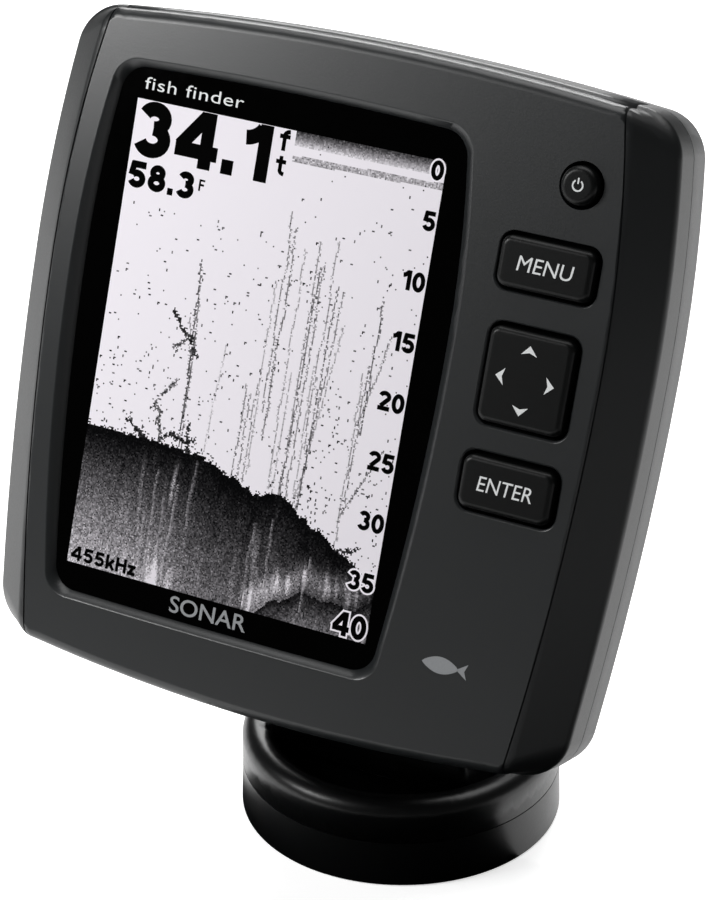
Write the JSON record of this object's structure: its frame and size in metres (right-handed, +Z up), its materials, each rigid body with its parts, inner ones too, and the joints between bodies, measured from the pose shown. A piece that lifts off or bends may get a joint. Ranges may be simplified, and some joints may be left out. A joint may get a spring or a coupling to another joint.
{
  "type": "fish finder",
  "caption": "Portrait display head with side keys that lifts off a latched, tilting cradle on a round swivelling base.",
  "frame": {"origin": "centre of the base's underside, on the swivel axis", "axes": "+Z up along the swivel axis, the display faces -Y and leans back 20 degrees, +X to the right of someone facing the display"},
  "size_m": [0.149, 0.1062, 0.1965],
  "materials": {
    "stand_plastic": "satin moulded black",
    "face_plastic": "fine matte charcoal",
    "rail_plastic": "fine matte charcoal, darker",
    "housing_plastic": "fine matte charcoal",
    "washer_nylon": "natural nylon",
    "screw_steel": "stainless",
    "seal_rubber": "soft",
    "lens_gloss": "hard coated, black printed border",
    "display_glass": "polished",
    "light_guide": "diffusing white",
    "pressed_steel": "plated",
    "flex_film": "amber film",
    "key_rubber": "satin moulded",
    "board_laminate": "solder mask",
    "chip_resin": "moulded resin",
    "ferrite": "sintered",
    "can_aluminium": "drawn",
    "socket_plastic": "moulded",
    "pin_brass": "plated"
  },
  "bodies": {
    "base": {"base_plate": "stand_plastic", "friction_washer": "washer_nylon"},
    "turret": {"turret": "stand_plastic", "swivel_bolt": "screw_steel", "swivel_washer": "screw_steel"},
    "cradle": {"cradle": "stand_plastic", "tilt_bolt": "screw_steel", "tilt_nut": "screw_steel", "tilt_washers": "washer_nylon", "latch_pin": "screw_steel"},
    "latch": {"latch": "stand_plastic", "latch_spring": "screw_steel"},
    "head": {"front_panel": "face_plastic", "side_rail_left": "rail_plastic", "side_rail_right": "rail_plastic", "rear_housing": "housing_plastic", "case_gasket": "seal_rubber", "case_screws": "screw_steel", "display_lens": "lens_gloss", "lens_gasket": "seal_rubber", "display_glass": "display_glass", "backlight": "light_guide", "display_frame": "pressed_steel", "display_ribbon": "flex_film", "key_domes": "pressed_steel", "key_board": "board_laminate", "main_board": "board_laminate", "board_screws": "screw_steel", "processor": "chip_resin", "memory": "chip_resin", "transformer": "ferrite", "capacitors": "can_aluminium", "beeper": "chip_resin", "connector_socket": "socket_plastic", "connector_pins": "pin_brass", "socket_nut": "socket_plastic"},
    "power_key": {"power_key": "key_rubber"},
    "menu_key": {"menu_key": "key_rubber"},
    "enter_key": {"enter_key": "key_rubber"},
    "rocker_actuator": {"rocker_actuator": "key_rubber"},
    "rocker": {"rocker_key": "key_rubber"}
  },
  "joints": [
    {"name": "swivel", "type": "hinge", "parent": "base", "child": "turret", "pos_m": [0, 0, 0.0118], "axis": [0, 0, 1], "range_deg": [-90, 90]},
    {"name": "tilt", "type": "hinge", "parent": "turret", "child": "cradle", "pos_m": [0, 0, 0.0265], "axis": [-1, 0, 0], "range_deg": [-20, 25]},
    {"name": "head_lift", "type": "slide", "parent": "cradle", "child": "head", "axis": [0, 0.3437, 0.9391], "range_m": [0, 0.055]},
    {"name": "latch_press", "type": "hinge", "parent": "cradle", "child": "latch", "pos_m": [0, 0.0044, 0.07969], "axis": [-1, 0, 0], "range_deg": [0, 6], "stiffness_Nm_per_rad": 0.4},
    {"name": "power_key_press", "type": "slide", "parent": "head", "child": "power_key", "axis": [0, 0.9391, -0.3437], "range_m": [0, 0.0008], "stiffness_N_per_m": 600},
    {"name": "menu_key_press", "type": "slide", "parent": "head", "child": "menu_key", "axis": [0, 0.9391, -0.3437], "range_m": [0, 0.0008], "stiffness_N_per_m": 600},
    {"name": "enter_key_press", "type": "slide", "parent": "head", "child": "enter_key", "axis": [0, 0.9391, -0.3437], "range_m": [0, 0.0008], "stiffness_N_per_m": 600},
    {"name": "rocker_up_down", "type": "hinge", "parent": "head", "child": "rocker_actuator", "pos_m": [0.05, -0.03628, 0.13876], "axis": [1, 0, 0], "range_deg": [-2, 2], "stiffness_Nm_per_rad": 0.15},
    {"name": "rocker_left_right", "type": "hinge", "parent": "rocker_actuator", "child": "rocker", "pos_m": [0.05, -0.03628, 0.13876], "axis": [0, 0.3437, 0.9391], "range_deg": [-2, 2], "stiffness_Nm_per_rad": 0.15}
  ]
}
